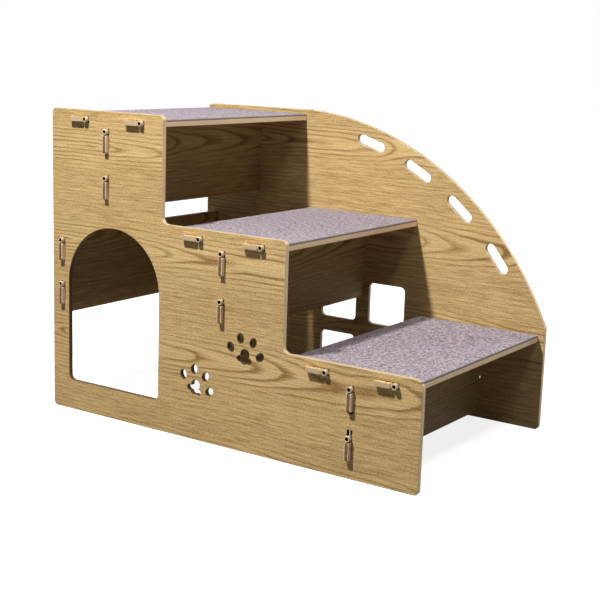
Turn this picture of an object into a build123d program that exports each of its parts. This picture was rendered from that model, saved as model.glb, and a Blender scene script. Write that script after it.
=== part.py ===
from build123d import *
import math
import os

os.makedirs("parts", exist_ok=True)

# Flat-pack pet stairs: three carpeted treads and four cross boards hang between two slotted
# side panels. Hooked tabs lock each board, and ring-headed plugs keep the tabs from sliding
# back. X runs from the back of the stairs to the front, Y across them, Z up from the floor.

# Stairs
steps = 3
step_run = 236.0
step_rise = 167.0
inner_width = 400.0
board = 8.0

# Treads and their carpets
tread_back_gap = 3.0
tread_setback = 12.0
carpet = 3.5
carpet_drop = 7.5
carpet_side_gap = 0.5

# Cross boards
floor_clearance = 12.0
riser_share = 0.51
back_inset = 19.0
back_sill = 163.0

# Tabs, slots and plugs
fit = 0.2
tab_neck = 24.0
tab_hook = 5.0
tab_stand_out = 7.0
tab_round = 2.5
plug_shank = 8.0
plug_head = 9.4
plug_bore = 5.0
plug_bore_floor = 2.0
plug_sides = 16
head_gap = 0.5
tread_back_margin = 46.0
tread_front_margin = 26.0
cross_low_margin = 21.0
cross_top_margin = 9.0
lower_riser_slack = 8.0

# Outlines of the side panels
outer_round = 8.0
front_round = 14.0
inner_round = 10.0
foot_round = 8.0
guard_bulge = 80.5
guard_end_rise = 4.5
guard_end_round = 12.0

# Doorway
door_width = 195.0
door_height = 265.5
door_sill = 50.0
door_inset = 36.0
door_round = 10.0

# Window in the far panel
pane = 73.0
window_bar = 26.5
window_sill = 31.5
pane_round = 9.0

# Hand slots in the guard
hand_slot_length = 57.0
hand_slot_width = 17.0
hand_slot_inset = 27.0
hand_slot_shares = (0.225, 0.405, 0.58, 0.765)

# Paw prints: each place is its pad's, measured from the back edge and the floor
toes = 4
toe_reach = 29.0
toe_length = 15.5
toe_width = 11.8
toe_fan = 49.0
toe_lean_share = 0.5
pad_top_radius = 8.2
pad_middle_radius = 6.8
pad_side_radius = 4.6
pad_spread = 9.0
pad_height = 8.6
upper_paw = (401.5, 149.0)
upper_paw_turn = -8.0
lower_paw = (306.5, 85.0)
lower_paw_turn = -21.0

# Sizes that follow from those above
length = steps * step_run
height = steps * step_rise
back = -length / 2
front = length / 2
tread_depth = step_run - tread_back_gap - tread_setback
tread_drop = carpet_drop + carpet + board
cross_height = step_rise - tread_drop - floor_clearance
slot_width = board + 2 * fit
slot_length = tab_neck + plug_shank + 3 * fit
plug_place = tab_neck + fit + plug_shank / 2
tab_head_end = plug_place - plug_head / 2 - head_gap
tread_tabs = (tread_back_margin, tread_depth - tread_front_margin - slot_length)
cross_tabs = (cross_low_margin, cross_height - cross_top_margin - slot_length)
guard_end = step_rise + guard_end_rise

# Boards by name, from the top down: treads by back edge and underside, cross boards by their
# middle and lower edge
levels = ("top", "middle", "lower")
tread_places = {
    name: (back + step * step_run + tread_back_gap, height - step * step_rise - tread_drop)
    for step, name in enumerate(levels)
}
cross_places = {
    name + "_riser": (
        back + (step + riser_share) * step_run,
        height - step * step_rise - tread_drop - cross_height,
    )
    for step, name in enumerate(levels)
}
cross_places["back_panel"] = (back + back_inset + board / 2, back_sill)


def finish(name, piece):
    """Label a finished piece and write it out."""
    piece.part.label = name
    export_step(piece.part, f"parts/{name}.step")


def corner(sketch, x, z):
    """The corner of an outline nearest to a place."""
    return sketch.vertices().sort_by_distance((x, z))[0]


def stair_outline():
    """Outline of the near panel: a straight back and one corner pair for each step."""
    line = [(back, 0), (back, height)]
    for step in range(steps):
        edge = back + (step + 1) * step_run
        line.append((edge, height - step * step_rise))
        line.append((edge, height - (step + 1) * step_rise))
    return line


# Joint slots, the same in both side panels
with BuildSketch() as joint_slots:
    for edge, underside in tread_places.values():
        with Locations(*[(edge + start - fit, underside + board / 2) for start in tread_tabs]):
            Rectangle(slot_length, slot_width, align=(Align.MIN, Align.CENTER))
    for middle, sill in cross_places.values():
        with Locations(*[(middle, sill + start - fit) for start in cross_tabs]):
            Rectangle(slot_width, slot_length, align=(Align.CENTER, Align.MIN))
    # The lower riser's two slots are cut long, towards each other
    middle, sill = cross_places["lower_riser"]
    with Locations(
        (middle, sill + cross_tabs[0] - fit + slot_length),
        (middle, sill + cross_tabs[1] - fit - lower_riser_slack),
    ):
        Rectangle(slot_width, lower_riser_slack, align=(Align.CENTER, Align.MIN))

# Arched doorway, drawn about the middle of its sill
with BuildSketch() as doorway:
    spring = door_height - door_width / 2
    Rectangle(door_width, spring, align=(Align.CENTER, Align.MIN))
    with Locations((0, spring)):
        Circle(door_width / 2)
    fillet(doorway.vertices().group_by(Axis.Y)[0], radius=door_round)

# Paw print, upright: a full pad with a lobe on each side, under a fan of four toes
with BuildSketch() as paw:
    lobes = ((0, pad_height / 2), (-pad_spread, -pad_height / 2), (pad_spread, -pad_height / 2))
    with Locations(lobes[0]):
        Circle(pad_top_radius)
    with Locations(*lobes[1:]):
        Circle(pad_side_radius)
    Polygon(*lobes, align=None)
    with Locations((0, -pad_height / 2)):
        Circle(pad_middle_radius)
    for toe in range(toes):
        angle = ((toes - 1) / 2 - toe) * toe_fan
        turn = math.radians(angle)
        place = (-toe_reach * math.sin(turn), toe_reach * math.cos(turn))
        with Locations(Location(place, angle * toe_lean_share)):
            Ellipse(toe_width / 2, toe_length / 2)

# Window of two by two panes, drawn about its middle
with BuildSketch() as window:
    with GridLocations(pane + window_bar, pane + window_bar, 2, 2):
        RectangleRounded(pane, pane, pane_round)

# Near side panel, stepped, with the doorway and the two paw prints
with BuildPart() as near_side_panel:
    with BuildSketch(Plane.XZ.offset(inner_width / 2)) as near_face:
        with BuildLine():
            Polyline(*stair_outline(), close=True)
        make_face()
        feet = [corner(near_face, back, 0), corner(near_face, front, 0)]
        fillet(feet, radius=foot_round)
        fillet(corner(near_face, front, step_rise), radius=front_round)
        crests = [corner(near_face, back, height)]
        for step in range(steps - 1):
            crests.append(corner(near_face, back + (step + 1) * step_run, height - step * step_rise))
        fillet(crests, radius=outer_round)
        hollows = [
            corner(near_face, back + step * step_run, height - step * step_rise)
            for step in range(1, steps)
        ]
        fillet(hollows, radius=inner_round)
        with Locations((back + door_inset + door_width / 2, door_sill)):
            add(doorway.sketch, mode=Mode.SUBTRACT)
        for place, turn in ((upper_paw, upper_paw_turn), (lower_paw, lower_paw_turn)):
            with Locations(Location((back + place[0], place[1]), turn)):
                add(paw.sketch, mode=Mode.SUBTRACT)
        add(joint_slots.sketch, mode=Mode.SUBTRACT)
    extrude(amount=board)
finish("near_side_panel", near_side_panel)

# Far side panel, full height, with the arched guard, its hand slots and the window
with BuildPart() as far_side_panel:
    with BuildSketch(Plane.XZ.offset(-inner_width / 2)) as far_face:
        with BuildLine():
            guard = SagittaArc((back + step_run, height), (front, guard_end), guard_bulge)
            Polyline(guard @ 1, (front, 0), (back, 0), (back, height), guard @ 0)
        make_face()
        feet = [corner(far_face, back, 0), corner(far_face, front, 0)]
        fillet(feet, radius=foot_round)
        fillet(corner(far_face, back, height), radius=outer_round)
        fillet(corner(far_face, front, guard_end), radius=guard_end_round)
        for share in hand_slot_shares:
            along = guard % share
            place = guard @ share + Vector(along.Y, -along.X) * hand_slot_inset
            tilt = math.degrees(math.atan2(along.Y, along.X))
            with Locations(Location(place, tilt)):
                SlotOverall(hand_slot_length, hand_slot_width, mode=Mode.SUBTRACT)
        with Locations((cross_places["middle_riser"][0], window_sill + pane + window_bar / 2)):
            add(window.sketch, mode=Mode.SUBTRACT)
        add(joint_slots.sketch, mode=Mode.SUBTRACT)
    extrude(amount=-board)
finish("far_side_panel", far_side_panel)


def tabbed_board(name, plane, depth, tabs):
    """A board between the side panels: x runs along its slots, hooks towards -x, y across."""
    with BuildPart() as piece:
        with BuildSketch(plane) as face:
            Rectangle(depth, inner_width, align=(Align.MIN, Align.CENTER))
            with Locations(*[(start, inner_width / 2) for start in tabs]):
                Rectangle(tab_neck, board, align=Align.MIN)
                Rectangle(tab_head_end, board + fit, align=Align.MIN)
            heads = [(start - tab_hook, inner_width / 2 + board + fit) for start in tabs]
            with Locations(*heads):
                Rectangle(tab_hook + tab_head_end, tab_stand_out - fit, align=Align.MIN)
            fillet(face.vertices().group_by(Axis.Y)[-1], radius=tab_round)
            mirror(about=Plane.XZ)
        extrude(amount=board)
    finish(name, piece)


def plugs(name, outward, places):
    """Ring-headed plugs with flat sides, in the free ends of one board's slots."""
    inner_face = Plane(origin=(0, outward * inner_width / 2, 0), x_dir=(1, 0, 0), z_dir=(0, outward, 0))
    spots = [inner_face.to_local_coords(Vector(x, outward * inner_width / 2, z)) for x, z in places]
    with BuildPart() as piece:
        with BuildSketch(inner_face.offset(fit)):
            with Locations(*spots):
                RegularPolygon(plug_shank / 2, plug_sides)
        extrude(amount=board - fit)
        with BuildSketch(inner_face.offset(board)):
            with Locations(*spots):
                RegularPolygon(plug_head / 2, plug_sides)
        extrude(amount=tab_stand_out)
        with BuildSketch(inner_face.offset(board + tab_stand_out)):
            with Locations(*spots):
                RegularPolygon(plug_bore / 2, plug_sides)
        extrude(amount=plug_bore_floor - board - tab_stand_out, mode=Mode.SUBTRACT)
    finish(name, piece)


# Treads, each with its carpet
for name, (edge, underside) in tread_places.items():
    tabbed_board(name + "_tread", Plane(origin=(edge, 0, underside)), tread_depth, tread_tabs)
    with BuildPart() as cover:
        with BuildSketch(Plane.XY.offset(underside + board)):
            with Locations((edge, 0)):
                Rectangle(tread_depth, inner_width - 2 * carpet_side_gap, align=(Align.MIN, Align.CENTER))
        extrude(amount=carpet)
    finish(name + "_carpet", cover)

# Cross boards, which stand on edge between the panels
for name, (middle, sill) in cross_places.items():
    upright = Plane(origin=(middle + board / 2, 0, sill), x_dir=(0, 0, 1), z_dir=(-1, 0, 0))
    tabbed_board(name, upright, cross_height, cross_tabs)

# Plugs: in front of each tread's tabs and above each cross board's
for side, outward in (("near", -1), ("far", 1)):
    for name, (edge, underside) in tread_places.items():
        places = [(edge + start + plug_place, underside + board / 2) for start in tread_tabs]
        plugs(f"{side}_{name}_tread_plugs", outward, places)
    for name, (middle, sill) in cross_places.items():
        places = [(middle, sill + start + plug_place) for start in cross_tabs]
        plugs(f"{side}_{name}_plugs", outward, places)
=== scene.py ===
import math
import random

import bmesh
import bpy
from mathutils import Matrix, Vector


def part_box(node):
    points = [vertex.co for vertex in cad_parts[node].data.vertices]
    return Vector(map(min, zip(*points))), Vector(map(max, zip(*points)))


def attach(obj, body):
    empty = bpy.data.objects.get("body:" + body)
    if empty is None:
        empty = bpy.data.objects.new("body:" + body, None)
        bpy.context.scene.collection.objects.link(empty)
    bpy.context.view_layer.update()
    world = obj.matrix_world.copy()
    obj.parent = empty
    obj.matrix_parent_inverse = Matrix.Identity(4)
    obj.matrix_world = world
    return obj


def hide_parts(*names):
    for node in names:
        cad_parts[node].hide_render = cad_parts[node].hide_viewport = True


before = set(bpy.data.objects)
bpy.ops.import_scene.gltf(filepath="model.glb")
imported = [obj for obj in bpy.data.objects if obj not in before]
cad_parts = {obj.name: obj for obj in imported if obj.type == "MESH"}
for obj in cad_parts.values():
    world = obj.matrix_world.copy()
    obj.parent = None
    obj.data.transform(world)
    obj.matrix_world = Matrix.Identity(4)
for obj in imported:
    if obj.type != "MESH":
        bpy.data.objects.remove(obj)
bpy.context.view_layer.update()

MM = 0.001

# Where the nodes are: everything below takes its places from the frame
near_low, near_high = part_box("near_side_panel")
far_low, far_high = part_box("far_side_panel")
STEPS = 3
STEP_RUN = (near_high.x - near_low.x) / STEPS
STEP_RISE = near_high.z / STEPS
LEVELS = ("top", "middle", "lower")
CROSS_BOARDS = ("back_panel", "top_riser", "middle_riser", "lower_riser")
SIDES = {"near": -1, "far": 1}

# The guard is an arc from the top of the first step to the front edge
GUARD_BULGE = 80.5 * MM
GUARD_END_RISE = 4.5 * MM

# Colours, linear
OAK_PALE = (0.720, 0.522, 0.246)
OAK_MID = (0.520, 0.357, 0.153)
OAK_DARK = (0.260, 0.142, 0.048)
# Painted light and shade on the oak: the near panel's is lightened, the cross boards' darkened
OAK_PAINTED_LIGHT_SHARES = {"near": 1.17, "far": 1.0, "tread": 1.0, "cross": 0.76}
EDGE_PALE = (0.820, 0.625, 0.385)
EDGE_DARK = (0.680, 0.500, 0.295)
# Painted light and shade on pale edges by the way they face: tops and tab ends darkened, fronts
# lightened
EDGE_TOP_PAINTED_SHADE = 0.55
EDGE_FRONT_PAINTED_LIGHT = 1.06
EDGE_END_PAINTED_SHADE = 0.74
# Cut walls: dark brown on the near panel; on the far panel painted lighter, as light from behind
CUT_WALL_TONES_AND_PAINTED_LIGHT = {"near": (0.070, 0.038, 0.017), "far": (0.380, 0.280, 0.180)}
# Pale veneer layers at the cross boards' cut edges, also painted light on their faces outside the
# panels
VENEER_AND_PAINTED_LIGHT = (0.720, 0.560, 0.400)
CORE_PALE = (0.300, 0.180, 0.085)
CORE_DARK = (0.100, 0.055, 0.024)
CARPET_PALE = (0.390, 0.335, 0.366)
CARPET_MID = (0.222, 0.186, 0.202)
CARPET_DARK = (0.088, 0.068, 0.070)
CARPET_SIDE = (0.330, 0.265, 0.225)
CARPET_WARM = (1.06, 0.98, 0.97)
CARPET_COOL = (0.93, 1.00, 1.08)
PLUG_PALE = (0.620, 0.490, 0.330)
# Painted shade: the inside of a plug's bore is near black
PLUG_BORE_PAINTED_SHADE = (0.025, 0.014, 0.008)
WHITE = (1.0, 1.0, 1.0)
WORLD_FILL = (0.95, 1.0, 1.1)

# Oak figure: strips with pointed loops down their middle, and straight lines between. Growth
# rings lie about a heart under each strip, and the heart's depth swells and tapers. Each ring's
# dark line fades over the first share of the ring and sets in over its last share
LOOP_PITCH = 0.93 * STEP_RISE
LOOP_HEIGHT = 0.80 * STEP_RISE
LOOP_DEPTH = 19 * MM
LOOP_TAPER = 0.062
LOOP_SWELL = 34 * MM
LOOP_ENDS = (14 * MM, 38 * MM)
RING_PITCH = 6.2 * MM
RING_FADE = (0.0, 0.36)
RING_ONSET = (0.86, 1.0)
LINE_SWAY = 14 * MM
LINE_SHIVER = 2.5 * MM

# The oak's noises: changes in each metre along and across the grain, and a shift that sets
# each one apart
OAK_NOISES = {
    "sway": {"along": 3.0, "across": 7.0, "shift": 0.0},
    "shiver": {"along": 30.0, "across": 60.0, "shift": 5.0},
    "swell": {"along": 5.0, "across": 4.0, "shift": 9.0, "detail": 1.5},
    "strength": {"along": 3.0, "across": 70.0, "shift": 13.0},
    "streak": {"along": 9.0, "across": 340.0, "shift": 7.0, "detail": 3.0, "roughness": 0.6},
    "dash": {"along": 32.0, "across": 500.0, "shift": 29.0, "roughness": 0.6},
    "pore": {"along": 60.0, "across": 950.0, "shift": 11.0},
    "cloud": {"along": 4.0, "across": 11.0, "shift": 17.0},
    "speck": {"along": 420.0, "across": 520.0, "shift": 23.0},
}

# The oak's tone: pairs go from a strip's middle, with its loops, to the straight lines
TONE_BASE = (-0.44, -0.54)
LINE_WEIGHTS = (-0.66, -0.15)
LINE_STRENGTH_NOISE = (0.36, 0.64)
LINE_STRENGTHS = (0.50, 1.0)
DASH_WEIGHTS = (0.35, 0.80)
TONE_WEIGHTS = {"streak": 0.80, "cloud": 0.30, "speck": 0.95}
PORE_SPREAD = (0.55, 0.75)
PORE_WEIGHT = -0.10
OAK_STOPS = (0.10, 0.52, 0.86)

# Board surfaces. A face turns further towards the board's thickness than its face limit
PANEL_FACE = 0.93
BOARD_FACE = 0.7
PANEL_ROUGHNESS = 0.52
BOARD_ROUGHNESS = 0.55
BOARD_SPECULAR = 0.15
OAK_RELIEF = 0.12 * MM
PANEL_SEEDS = {"near": 2.0, "far": 53.0}
TREAD_SEED = 31.0
TREAD_EDGE_SEED = 33.0
CROSS_SEED = 71.0
CROSS_SEED_STEP = 9.0
LAYERS_ALONG = 20.0
LAYERS_THROUGH = 900.0
LAYERS_SPREAD = (0.35, 0.7)
EDGE_TURN = (0.30, 0.90)
CUT_DEPTH = 3 * MM
CUT_SPECK = 700.0
CUT_SPECK_SHARE = 1.8
VENEER_DEPTH = 1.3 * MM
CORE_SPECK = 500.0
CORE_SPREAD = (0.38, 0.64)

# Board shapes: CAD faces are merged where they lie flat, then their edges are rounded
PANEL_ROUNDING = 0.9 * MM
BOARD_ROUNDING = 0.5 * MM
ROUNDING_STEPS = 2
ROUNDED_ANGLE = math.radians(40)
WELD_DISTANCE = 0.002 * MM
FLAT_ANGLE = math.radians(0.3)

# Carpet
CARPET_CELL = 3.0 * MM
CARPET_BUMP = 0.35 * MM
CARPET_ROUNDING = 1.6 * MM
CARPET_RIM = (0.0, 0.3 * MM, 0.8 * MM, CARPET_ROUNDING)
CARPET_FINE = 480.0
CARPET_FINE_WEIGHT = 0.70
CARPET_COARSE = 190.0
CARPET_COARSE_WEIGHT = 0.42
CARPET_STOPS = (0.48, 0.56, 0.64)
CARPET_HUE = 260.0
CARPET_HUE_SPREAD = (0.40, 0.60)
CARPET_SIDE_TURN = (0.35, 0.75)
CARPET_RELIEF = 0.8 * MM

# Plugs
PLUG_SHANK_RADIUS = 4 * MM
PLUG_BORE_RADIUS = 2.5 * MM
PLUG_BORE_FLOOR = 2 * MM
PLUG_SOFTNESS = 1.0 * MM
PLUG_ARC_STEPS = 6
# Rows of a plug's outline, at its bore, that take the painted shade
PLUG_SHADE_RINGS = 4
PLUG_SIDES = 40
PLUG_SPECK = 300.0
PLUG_SPECK_SHARE = 0.8
BORE_SPECK = 400.0
BORE_SPECK_SHARE = 1.6
PLUG_RELIEF = 0.05 * MM

# Floor and world: what the camera sees of them is near white, what they light with is less.
# The seen floor glows a little less near the object, up to white between two distances
FLOOR_REACH = 12.0
FLOOR_SEEN = 0.84
FLOOR_WHITENING = (0.45, 1.5)
FLOOR_SHADE = 0.35
FLOOR_BOUNCE = 0.15
WORLD_FILL_STRENGTH = 0.03
OBJECT_MIDDLE = (0.0, 0.0, 0.25)
KEY_TARGET = (0.05, 0.0, 0.2)

# Camera: solved from the photograph with the model's own sizes
CAMERA_PLACE = (1.1402, -1.6748, 0.6078)
CAMERA_YAW = math.radians(34.15)
CAMERA_PITCH = math.radians(11.38)
CAMERA_ROLL = math.radians(1.88)
CAMERA_SENSOR = 36.0
CAMERA_LENS = 74.94
CAMERA_REACH = 60.0


class Shader:
    """The node tree of a material or a world, with a short call for each kind of node."""

    def __init__(self, owner, output="ShaderNodeOutputMaterial"):
        self.owner = owner
        owner.use_nodes = True
        self.tree = owner.node_tree
        self.tree.nodes.clear()
        self.output = self.tree.nodes.new(output)

    def make(self, kind, inputs=(), **settings):
        node = self.tree.nodes.new(kind)
        for name, value in settings.items():
            setattr(node, name, value)
        for key, value in dict(inputs).items():
            self.set(node.inputs[key], value)
        return node

    def set(self, socket, value):
        if isinstance(value, bpy.types.NodeSocket):
            self.tree.links.new(value, socket)
        elif isinstance(value, tuple) and socket.type == "RGBA":
            socket.default_value = (*value[:3], 1.0)
        else:
            socket.default_value = value

    def math(self, operation, *values):
        node = self.make("ShaderNodeMath", operation=operation)
        for socket, value in zip(node.inputs, values):
            self.set(socket, value)
        return node.outputs[0]

    def any_of(self, *masks):
        found = masks[0]
        for mask in masks[1:]:
            found = self.math("MAXIMUM", found, mask)
        return found

    def all_of(self, *masks):
        found = masks[0]
        for mask in masks[1:]:
            found = self.math("MULTIPLY", found, mask)
        return found

    def under(self, value, limit):
        return self.math("LESS_THAN", value, limit)

    def over(self, value, limit):
        return self.math("GREATER_THAN", value, limit)

    def magnitude(self, value):
        return self.math("ABSOLUTE", value)

    def hypotenuse(self, one, other):
        squares = [self.math("POWER", side, 2.0) for side in (one, other)]
        return self.math("SQRT", self.math("ADD", *squares))

    def mix(self, factor, first, second, blend="MIX"):
        node = self.make("ShaderNodeMix", data_type="RGBA", blend_type=blend)
        self.set(node.inputs[0], factor)
        self.set(node.inputs[6], first)
        self.set(node.inputs[7], second)
        return node.outputs[2]

    def times(self, colour, tint):
        return self.mix(1.0, colour, tint, blend="MULTIPLY")

    def vector(self, x, y, z):
        node = self.make("ShaderNodeCombineXYZ")
        for socket, value in zip(node.inputs, (x, y, z)):
            self.set(socket, value)
        return node.outputs[0]

    def parts(self, vector):
        return self.make("ShaderNodeSeparateXYZ", {"Vector": vector}).outputs

    def spot(self):
        return self.make("ShaderNodeTexCoord").outputs["Object"]

    def place(self):
        return self.parts(self.spot())

    def facing(self):
        return self.parts(self.make("ShaderNodeTexCoord").outputs["Normal"])

    def seen(self):
        """1 for what the camera sees, by itself or in gloss or through glass."""
        path = self.make("ShaderNodeLightPath").outputs
        rays = ("Is Camera Ray", "Is Glossy Ray", "Is Transmission Ray")
        return self.any_of(*[path[ray] for ray in rays])

    def noise(self, vector, scale, detail=2.0, roughness=0.5):
        node = self.make(
            "ShaderNodeTexNoise",
            {"Vector": vector, "Scale": scale, "Detail": detail, "Roughness": roughness},
        )
        return node.outputs["Fac"]

    def spread(self, value, low, high, to_low=0.0, to_high=1.0):
        limits = {"From Min": low, "From Max": high, "To Min": to_low, "To Max": to_high}
        return self.make("ShaderNodeMapRange", {"Value": value, **limits}).outputs[0]

    def ramp(self, value, places, colours):
        node = self.make("ShaderNodeValToRGB", {"Fac": value})
        elements = node.color_ramp.elements
        while len(elements) < len(places):
            elements.new(0.5)
        for element, position, colour in zip(elements, places, colours):
            element.position = position
            element.color = (*colour, 1.0)
        return node.outputs[0]

    def dappled(self, colour, share, scale):
        """A colour that varies towards a share of itself, and the noise that it follows."""
        speck = self.noise(self.spot(), scale)
        return self.mix(speck, colour, tuple(share * c for c in colour)), speck

    def show(self, closure):
        """End the tree with its surface, and give back what it belongs to."""
        self.tree.links.new(closure.outputs[0], self.output.inputs["Surface"])
        return self.owner

    def surface(self, colour, height, relief, roughness, specular=0.35, sheen=0.0):
        skin = {
            "Base Color": colour,
            "Roughness": roughness,
            "Specular IOR Level": specular,
            "Sheen Weight": sheen,
        }
        bump = {"Height": height, "Strength": 1.0, "Distance": relief}
        skin["Normal"] = self.make("ShaderNodeBump", bump).outputs[0]
        return self.show(self.make("ShaderNodeBsdfPrincipled", skin))


def new_material(name):
    return Shader(bpy.data.materials.new(name))


def oak(shader, along, across, seed, board):
    """Flat-sawn oak, its colour and its tone: rings loop in a strip's middle, else run straight."""

    def noise(name, over=across):
        kind = OAK_NOISES[name]
        spot = shader.vector(
            shader.math("MULTIPLY", along, kind["along"]),
            shader.math("MULTIPLY", over, kind["across"]),
            seed + kind["shift"],
        )
        return shader.noise(spot, 1.0, kind.get("detail", 2.0), kind.get("roughness", 0.5))

    def about_zero(value):
        return shader.math("SUBTRACT", value, 0.5)

    def added(value, weight, total):
        return shader.math("MULTIPLY_ADD", value, weight, total)

    # Growth lines, bent and divided into strips
    shivering = added(about_zero(noise("shiver")), LINE_SHIVER, across)
    bent = added(about_zero(noise("sway")), LINE_SWAY, shivering)
    strip = shader.math("DIVIDE", shader.math("SUBTRACT", bent, LOOP_HEIGHT), LOOP_PITCH)
    off_strip = shader.math("SUBTRACT", strip, shader.math("ROUND", strip))
    off_middle = shader.math("MULTIPLY", off_strip, LOOP_PITCH)

    # Rings about a heart that lies under each strip's middle
    depth = added(about_zero(noise("swell")), LOOP_SWELL, added(along, LOOP_TAPER, LOOP_DEPTH))
    reach = shader.hypotenuse(off_middle, depth)
    ring = shader.math("FRACT", shader.math("DIVIDE", reach, RING_PITCH))
    fade = shader.spread(ring, *RING_FADE, 1.0, 0.0)
    line = shader.any_of(fade, shader.spread(ring, *RING_ONSET))

    # Tone: lines, then dashes, streaks, clouds, specks and pores
    straight = shader.spread(shader.magnitude(off_middle), *LOOP_ENDS)
    strength = noise("strength", over=reach)
    strength = shader.spread(strength, *LINE_STRENGTH_NOISE, *LINE_STRENGTHS)
    weight = shader.math("MULTIPLY", strength, shader.spread(straight, 0.0, 1.0, *LINE_WEIGHTS))
    tone = added(line, weight, shader.spread(straight, 0.0, 1.0, *TONE_BASE))
    dash_weight = shader.spread(straight, 0.0, 1.0, *DASH_WEIGHTS)
    tone = added(about_zero(noise("dash", over=bent)), dash_weight, tone)
    tone = added(noise("streak", over=bent), TONE_WEIGHTS["streak"], tone)
    tone = added(noise("cloud"), TONE_WEIGHTS["cloud"], tone)
    tone = added(noise("speck"), TONE_WEIGHTS["speck"], tone)
    tone = added(shader.spread(noise("pore", over=bent), *PORE_SPREAD), PORE_WEIGHT, tone)
    # Each board's oak shades are scaled by its share: painted light on the near panel, painted
    # shade on the cross boards
    shades = [
        tuple(OAK_PAINTED_LIGHT_SHARES[board] * c for c in shade) for shade in (OAK_DARK, OAK_MID, OAK_PALE)
    ]
    return shader.ramp(tone, OAK_STOPS, shades), tone


def edge_finish(shader, through, along, seed):
    """A board's pale cut edge, with faint layers, painted shade on tops and ends, painted light on
    fronts.
    """
    spot = shader.vector(
        shader.math("MULTIPLY", along, LAYERS_ALONG),
        shader.math("MULTIPLY", through, LAYERS_THROUGH),
        seed,
    )
    edge = shader.mix(shader.spread(shader.noise(spot, 1.0), *LAYERS_SPREAD), EDGE_PALE, EDGE_DARK)
    front, end, top = shader.facing()
    shares = (
        (top, EDGE_TOP_PAINTED_SHADE),
        (front, EDGE_FRONT_PAINTED_LIGHT),
        (shader.magnitude(end), EDGE_END_PAINTED_SHADE),
    )
    # Painted shade on tops and ends, painted light on fronts
    for facing, share in shares:
        toned = shader.times(edge, (share,) * 3)
        edge = shader.mix(shader.spread(facing, *EDGE_TURN), edge, toned)
    return edge


def guard_circle():
    """Middle and radius of the guard's arc, from its two ends and its bulge."""
    start = Vector((far_low.x + STEP_RUN, far_high.z))
    end = Vector((far_high.x, STEP_RISE + GUARD_END_RISE))
    chord = end - start
    radius = (chord.length_squared / 4 + GUARD_BULGE ** 2) / (2 * GUARD_BULGE)
    inward = Vector((chord.y, -chord.x)).normalized()
    return (start + end) / 2 + inward * (radius - GUARD_BULGE), radius


def inside_outline(shader, side, x, z):
    """1 where a side panel's surface lies well inside its outline: the walls of cut-outs."""
    back = shader.over(x, near_low.x + CUT_DEPTH)
    foot = shader.over(z, near_low.z + CUT_DEPTH)
    if side == "near":
        steps = []
        for step in range(STEPS):
            in_run = shader.under(x, near_low.x + (step + 1) * STEP_RUN - CUT_DEPTH)
            in_rise = shader.under(z, near_high.z - step * STEP_RISE - CUT_DEPTH)
            steps.append(shader.all_of(in_run, in_rise))
        return shader.all_of(back, foot, shader.any_of(*steps))
    front = shader.under(x, near_high.x - CUT_DEPTH)
    middle, radius = guard_circle()
    across = shader.math("SUBTRACT", x, middle.x)
    up = shader.math("SUBTRACT", z, middle.y)
    in_arc = shader.under(shader.hypotenuse(across, up), radius - CUT_DEPTH)
    in_run = shader.under(x, far_low.x + STEP_RUN)
    in_top = shader.all_of(in_run, shader.under(z, far_high.z - CUT_DEPTH))
    return shader.all_of(back, foot, front, shader.any_of(in_arc, in_top))


def wooden(shader, faces, face_limit, colour, tone, edge, roughness=BOARD_ROUGHNESS):
    """A board's surface: oak on its two faces, and its edge colour on the rest."""
    rim = shader.under(shader.magnitude(faces), face_limit)
    colour = shader.mix(rim, colour, edge)
    return shader.surface(colour, tone, OAK_RELIEF, roughness, specular=BOARD_SPECULAR)


def panel_material(side):
    """A side panel: oak faces, with painted light on the near one, and a pale outer edge. Cut-out
    walls are dark brown on the near panel and painted lighter on the far one, as light from behind.
    """
    shader = new_material(side + "_panel_oak")
    x, y, z = shader.place()
    seed = PANEL_SEEDS[side]
    colour, tone = oak(shader, x, z, seed, side)
    edge = edge_finish(shader, y, shader.math("ADD", x, z), seed)
    # The far panel's cut walls carry painted light
    wall, _ = shader.dappled(CUT_WALL_TONES_AND_PAINTED_LIGHT[side], CUT_SPECK_SHARE, CUT_SPECK)
    edge = shader.mix(inside_outline(shader, side, x, z), edge, wall)
    faces = shader.facing()[1]
    return wooden(shader, faces, PANEL_FACE, colour, tone, edge, PANEL_ROUGHNESS)


def tread_material():
    """A tread: oak underneath and on its tabs, pale cut edges, painted shade on tab ends, light at
    front.
    """
    shader = new_material("tread_oak")
    x, y, z = shader.place()
    colour, tone = oak(shader, y, x, TREAD_SEED, "tread")
    edge = edge_finish(shader, z, y, TREAD_EDGE_SEED)
    return wooden(shader, shader.facing()[2], BOARD_FACE, colour, tone, edge)


def cross_board_material(board):
    """A cross board: oak faces with painted shade, painted pale as light outside the panels, and a
    brown core between two pale layers at its cut edges.
    """
    shader = new_material(board + "_oak")
    x, y, z = shader.place()
    low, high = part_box(board)
    seed = CROSS_SEED + CROSS_SEED_STEP * CROSS_BOARDS.index(board)
    colour, tone = oak(shader, y, z, seed, "cross")
    # Painted light: a cross board's faces are pale where its tabs stand out of the panels
    painted_light_outside_panels = shader.over(shader.magnitude(y), far_high.y)
    colour = shader.mix(painted_light_outside_panels, colour, VENEER_AND_PAINTED_LIGHT)
    speck = shader.noise(shader.spot(), CORE_SPECK, detail=3.0, roughness=0.7)
    core = shader.mix(shader.spread(speck, *CORE_SPREAD), CORE_DARK, CORE_PALE)
    off_middle = shader.magnitude(shader.math("SUBTRACT", x, (low.x + high.x) / 2))
    core = shader.mix(shader.over(off_middle, (high.x - low.x) / 2 - VENEER_DEPTH), core, VENEER_AND_PAINTED_LIGHT)
    return wooden(shader, shader.facing()[0], BOARD_FACE, colour, tone, core)


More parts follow.
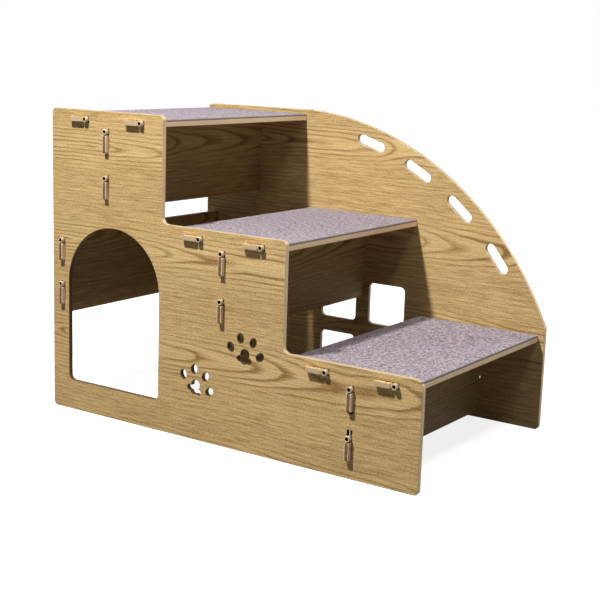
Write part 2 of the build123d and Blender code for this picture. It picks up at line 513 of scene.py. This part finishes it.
def carpet_material():
    """Speckled grey-mauve carpet, plain and browner along its cut edge."""
    shader = new_material("carpet_pile")
    fine = shader.noise(shader.spot(), CARPET_FINE, roughness=0.8)
    coarse = shader.noise(shader.spot(), CARPET_COARSE, roughness=0.6)
    fine_share = shader.math("MULTIPLY", fine, CARPET_FINE_WEIGHT)
    grain = shader.math("MULTIPLY_ADD", coarse, CARPET_COARSE_WEIGHT, fine_share)
    colour = shader.ramp(grain, CARPET_STOPS, (CARPET_DARK, CARPET_MID, CARPET_PALE))
    hue = shader.noise(shader.spot(), CARPET_HUE, roughness=0.7)
    hue = shader.spread(hue, *CARPET_HUE_SPREAD)
    colour = shader.times(colour, shader.mix(hue, CARPET_WARM, CARPET_COOL))
    side = shader.spread(shader.facing()[2], *CARPET_SIDE_TURN, 1.0, 0.0)
    colour = shader.mix(side, colour, CARPET_SIDE)
    return shader.surface(colour, fine, CARPET_RELIEF, roughness=0.95, specular=0.1, sheen=0.15)


def plug_material():
    """The pale body of a plug."""
    shader = new_material("plug_pale")
    colour, speck = shader.dappled(PLUG_PALE, PLUG_SPECK_SHARE, PLUG_SPECK)
    return shader.surface(colour, speck, PLUG_RELIEF, roughness=0.45)


def bore_shade_material():
    """The inside of a plug's bore, near black: painted shade."""
    shader = new_material("plug_bore_shade")
    colour, speck = shader.dappled(PLUG_BORE_PAINTED_SHADE, BORE_SPECK_SHARE, BORE_SPECK)
    return shader.surface(colour, speck, PLUG_RELIEF, roughness=0.8)


def floor_material():
    """A floor that lights little, and that the camera sees as near white with a shadow on it."""
    shader = new_material("floor")
    x, y, z = shader.place()
    strength = shader.spread(shader.hypotenuse(x, y), *FLOOR_WHITENING, FLOOR_SEEN, 1.0)
    bounce = shader.make("ShaderNodeBsdfDiffuse", {"Color": (FLOOR_BOUNCE,) * 3})
    shaded = shader.make("ShaderNodeBsdfDiffuse", {"Color": (FLOOR_SHADE,) * 3})
    glow = shader.make("ShaderNodeEmission", {"Color": WHITE, "Strength": strength})
    white = shader.make("ShaderNodeAddShader", {0: shaded.outputs[0], 1: glow.outputs[0]})
    closures = {"Fac": shader.seen(), 1: bounce.outputs[0], 2: white.outputs[0]}
    return shader.show(shader.make("ShaderNodeMixShader", closures))


def studio_world():
    """A world that is white to the camera and in gloss, and otherwise a low even fill."""
    shader = Shader(bpy.data.worlds.new("studio"), "ShaderNodeOutputWorld")
    low = {"Color": WORLD_FILL, "Strength": WORLD_FILL_STRENGTH}
    fill = shader.make("ShaderNodeBackground", low)
    white = shader.make("ShaderNodeBackground", {"Color": WHITE, "Strength": 1.0})
    closures = {"Fac": shader.seen(), 1: fill.outputs[0], 2: white.outputs[0]}
    return shader.show(shader.make("ShaderNodeMixShader", closures))


def new_object(name, data):
    made = bpy.data.objects.new(name, data)
    bpy.context.scene.collection.objects.link(made)
    return made


def dress(name, material, rounding):
    """A CAD node keeps its shape, takes its material and gets slightly rounded edges."""
    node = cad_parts[name]
    node.data.materials.clear()
    node.data.materials.append(material)
    weld = node.modifiers.new("weld", "WELD")
    weld.merge_threshold = WELD_DISTANCE
    flat = node.modifiers.new("flat", "DECIMATE")
    flat.decimate_type = "DISSOLVE"
    flat.angle_limit = FLAT_ANGLE
    bevel = node.modifiers.new("round", "BEVEL")
    bevel.width = rounding
    bevel.segments = ROUNDING_STEPS
    bevel.limit_method = "ANGLE"
    bevel.angle_limit = ROUNDED_ANGLE
    bevel.use_clamp_overlap = False
    bevel.loop_slide = False
    node.modifiers.new("normals", "WEIGHTED_NORMAL")


def new_piece(name, mesh, node, materials):
    """A finished mesh as a piece of its own, in the place of a CAD node."""
    bmesh.ops.recalc_face_normals(mesh, faces=mesh.faces)
    data = bpy.data.meshes.new(name)
    mesh.to_mesh(data)
    mesh.free()
    data.shade_smooth()
    for material in materials:
        data.materials.append(material)
    piece = new_object(name, data)
    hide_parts(node)
    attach(piece, "root")
    return piece


def spaced(low, high):
    """Places from low to high: close together at the rounded rims, then evenly spaced."""
    inner_low, inner_high = low + CARPET_RIM[-1], high - CARPET_RIM[-1]
    count = max(2, round((inner_high - inner_low) / CARPET_CELL))
    middle = [inner_low + (inner_high - inner_low) * i / count for i in range(1, count)]
    return [low + e for e in CARPET_RIM] + middle + [high - e for e in reversed(CARPET_RIM)]


def carpet(level, material):
    """A carpet as its own soft sheet: a pile with small bumps, rounded over at its edges."""
    node = level + "_carpet"
    low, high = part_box(node)
    chance = random.Random(node)
    xs = spaced(low.x, high.x)
    ys = spaced(low.y, high.y)

    def top(x, y):
        inset = min(x - low.x, high.x - x, y - low.y, high.y - y, CARPET_ROUNDING)
        left = CARPET_ROUNDING - inset
        fall = CARPET_ROUNDING - math.sqrt(max(0.0, CARPET_ROUNDING ** 2 - left ** 2))
        bump = chance.uniform(0.0, CARPET_BUMP) if inset >= CARPET_ROUNDING else 0.0
        return high.z - fall - bump

    mesh = bmesh.new()
    rows = [[mesh.verts.new((x, y, top(x, y))) for y in ys] for x in xs]
    for row, following in zip(rows, rows[1:]):
        for j in range(len(ys) - 1):
            mesh.faces.new((row[j], following[j], following[j + 1], row[j + 1]))
    rim = (
        rows[0][:]
        + [row[-1] for row in rows[1:]]
        + rows[-1][-2::-1]
        + [row[0] for row in rows[-2:0:-1]]
    )
    foot = [mesh.verts.new((v.co.x, v.co.y, low.z)) for v in rim]
    for k in range(len(rim)):
        n = (k + 1) % len(rim)
        mesh.faces.new((rim[k], rim[n], foot[n], foot[k]))
    mesh.faces.new(list(reversed(foot)))
    piece = new_piece(node + "_pile", mesh, node, [material])


def plug_profile(head, neck, tip):
    """A plug's turned outline, as radius and distance out, and the row where its bore's painted
    shade starts.
    """
    profile = [(0.0, 0.0), (PLUG_SHANK_RADIUS, 0.0), (PLUG_SHANK_RADIUS, neck), (head, neck)]
    soft = PLUG_SOFTNESS
    for middle, start in ((head - soft, 0), (PLUG_BORE_RADIUS + soft, 90)):
        for k in range(PLUG_ARC_STEPS + 1):
            turn = math.radians(start + 90 * k / PLUG_ARC_STEPS)
            place = (middle + soft * math.cos(turn), tip - soft + soft * math.sin(turn))
            profile.append(place)
    shaded_from = len(profile) - PLUG_SHADE_RINGS
    return profile + [(PLUG_BORE_RADIUS, PLUG_BORE_FLOOR), (0.0, PLUG_BORE_FLOOR)], shaded_from


def turned_ring(mesh, middle, radius, out):
    """One ring of a turned body; at its axis, one vertex as often as a ring has."""
    spot = middle + Vector((0, out, 0))
    if radius == 0.0:
        return [mesh.verts.new(spot)] * PLUG_SIDES
    turns = [2 * math.pi * k / PLUG_SIDES for k in range(PLUG_SIDES)]
    return [
        mesh.verts.new(spot + Vector((radius * math.cos(turn), 0, radius * math.sin(turn))))
        for turn in turns
    ]


def plug_pair(name, outward, materials):
    """Two turned plugs with a rounded ring head, in the place of a plug node."""
    low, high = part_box(name)
    size = high - low
    head = min(size.x, size.z) / 2
    upright = size.z > size.x
    ends = (low.z + head, high.z - head) if upright else (low.x + head, high.x - head)
    inner, outer = (low.y, high.y) if outward > 0 else (high.y, low.y)
    panel_face = far_high.y if outward > 0 else near_low.y
    profile, shaded_from = plug_profile(head, abs(panel_face - inner), abs(outer - inner))
    mesh = bmesh.new()
    for end in ends:
        x, z = (low.x + head, end) if upright else (end, low.z + head)
        middle = Vector((x, inner, z))
        rings = [turned_ring(mesh, middle, radius, outward * out) for radius, out in profile]
        for row, (first, second) in enumerate(zip(rings, rings[1:])):
            for k in range(PLUG_SIDES):
                n = (k + 1) % PLUG_SIDES
                corners = list(dict.fromkeys((first[k], first[n], second[n], second[k])))
                # Rows in the bore take the painted shade
                mesh.faces.new(corners).material_index = 1 if row >= shaded_from else 0
    new_piece(name + "_turned", mesh, name, materials)


def lamp(name, place, target, size, power, even=False):
    """A soft square lamp that looks at a place on the object. An even one fades with distance,
    not with its square."""
    data = bpy.data.lights.new(name, "AREA")
    data.shape = "SQUARE"
    data.size = size
    data.energy = power
    light = new_object(name, data)
    light.location = place
    light.rotation_mode = "QUATERNION"
    light.rotation_quaternion = (Vector(target) - Vector(place)).to_track_quat("-Z", "Y")
    if even:
        data.use_nodes = True
        nodes = data.node_tree.nodes
        falloff = nodes.new("ShaderNodeLightFalloff")
        falloff.inputs["Strength"].default_value = 1.0
        glow = next(node for node in nodes if node.bl_idname == "ShaderNodeEmission")
        data.node_tree.links.new(falloff.outputs["Linear"], glow.inputs["Strength"])


def photo_camera():
    """The photograph's camera, from its place, its turns and its lens."""
    data = bpy.data.cameras.new("camera")
    data.sensor_width = CAMERA_SENSOR
    data.lens = CAMERA_LENS
    data.clip_end = CAMERA_REACH
    camera = new_object("camera", data)
    level = math.cos(CAMERA_PITCH)
    forward = Vector((
        -math.sin(CAMERA_YAW) * level,
        math.cos(CAMERA_YAW) * level,
        -math.sin(CAMERA_PITCH),
    ))
    level_right = Vector((math.cos(CAMERA_YAW), math.sin(CAMERA_YAW), 0))
    level_up = level_right.cross(forward)
    right = math.cos(CAMERA_ROLL) * level_right + math.sin(CAMERA_ROLL) * level_up
    up = -math.sin(CAMERA_ROLL) * level_right + math.cos(CAMERA_ROLL) * level_up
    axes = Matrix((right, up, -forward)).transposed().to_4x4()
    camera.matrix_world = Matrix.Translation(CAMERA_PLACE) @ axes
    return camera


# Boards, carpets and plugs
for side in SIDES:
    dress(side + "_side_panel", panel_material(side), PANEL_ROUNDING)
tread_oak = tread_material()
pile = carpet_material()
plug_and_bore_shade = [plug_material(), bore_shade_material()]
for level in LEVELS:
    dress(level + "_tread", tread_oak, BOARD_ROUNDING)
    carpet(level, pile)
for board in CROSS_BOARDS:
    dress(board, cross_board_material(board), BOARD_ROUNDING)
for side, outward in SIDES.items():
    for board in [level + "_tread" for level in LEVELS] + list(CROSS_BOARDS):
        plug_pair(f"{side}_{board}_plugs", outward, plug_and_bore_shade)

# Floor and world
floor_mesh = bpy.data.meshes.new("floor")
corners = [(x * FLOOR_REACH, y * FLOOR_REACH, 0) for x, y in ((-1, -1), (1, -1), (1, 1), (-1, 1))]
floor_mesh.from_pydata(corners, [], [(0, 1, 2, 3)])
floor_mesh.materials.append(floor_material())
floor = new_object("floor", floor_mesh)
bpy.context.scene.world = studio_world()

# Lamps: the key light's place is solved from the shadow edges in the photograph
lamp("key", place=(-0.213, -0.88, 1.56), target=KEY_TARGET, size=0.09, power=24, even=True)
lamp("side", place=(1.2, -0.1, 2.9), target=OBJECT_MIDDLE, size=0.5, power=46)
lamp("fill", place=(-0.3, -2.8, 0.9), target=OBJECT_MIDDLE, size=1.4, power=1)
lamp("back", place=(0.9, 2.7, 1.2), target=OBJECT_MIDDLE, size=1.2, power=40)
lamp("rear", place=(-2.6, 0.6, 1.0), target=OBJECT_MIDDLE, size=1.2, power=18)

bpy.context.scene.camera = photo_camera()
bpy.context.scene.view_settings.view_transform = "Standard"
